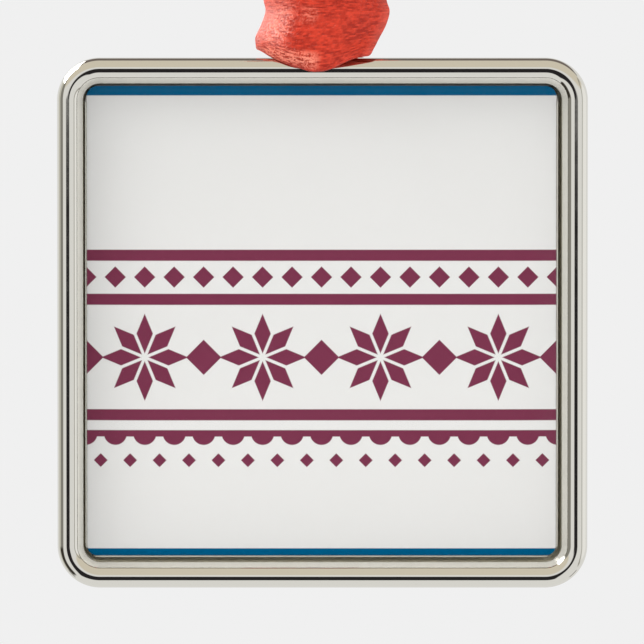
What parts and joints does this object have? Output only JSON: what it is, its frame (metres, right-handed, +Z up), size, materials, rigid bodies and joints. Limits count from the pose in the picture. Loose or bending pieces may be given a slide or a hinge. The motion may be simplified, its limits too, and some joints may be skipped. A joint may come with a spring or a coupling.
{
  "type": "hanging ornament",
  "caption": "Square metal Christmas ornament: a plated bezel with a stepped, rounded rim round a printed insert, hung by a gathered red ribbon loop with a knot.",
  "frame": {"origin": "the point where the hook carries the ribbon loop, at the inside top of the loop", "axes": "+Z up along the hanging ribbon, +X to the right seen from the front, +Y towards the back of the bezel"},
  "size_m": [0.0572, 0.03, 0.144],
  "materials": {
    "nickel_plate": "polished nickel plate on die-cast zinc",
    "tinplate": "bright rolled tinplate",
    "foam": "matt closed-cell foam tape",
    "printed_paper": "smooth printed paper",
    "clear_film": "clear glossy polyester film",
    "ribbon": "sheer satin weave"
  },
  "bodies": {
    "ribbon": {"ribbon_loop": "ribbon", "ribbon_knot": "ribbon"},
    "neck": {"ribbon_neck": "ribbon"},
    "ornament": {"bezel": "nickel_plate", "foam_pad": "foam", "back_plate": "tinplate", "insert_shell": "tinplate", "printed_sheet": "printed_paper", "clear_film": "clear_film", "ribbon_bight": "ribbon"}
  },
  "joints": [
    {"name": "ribbon_twist", "type": "hinge", "parent": "ribbon", "child": "neck", "pos_m": [0, 0, -0.0514], "axis": [0, 0, 1], "range_deg": [-90, 90], "stiffness_Nm_per_rad": 0.00014},
    {"name": "ornament_swing", "type": "hinge", "parent": "neck", "child": "ornament", "pos_m": [0, 0, -0.058], "axis": [1, 0, 0], "range_deg": [-30, 30]}
  ]
}
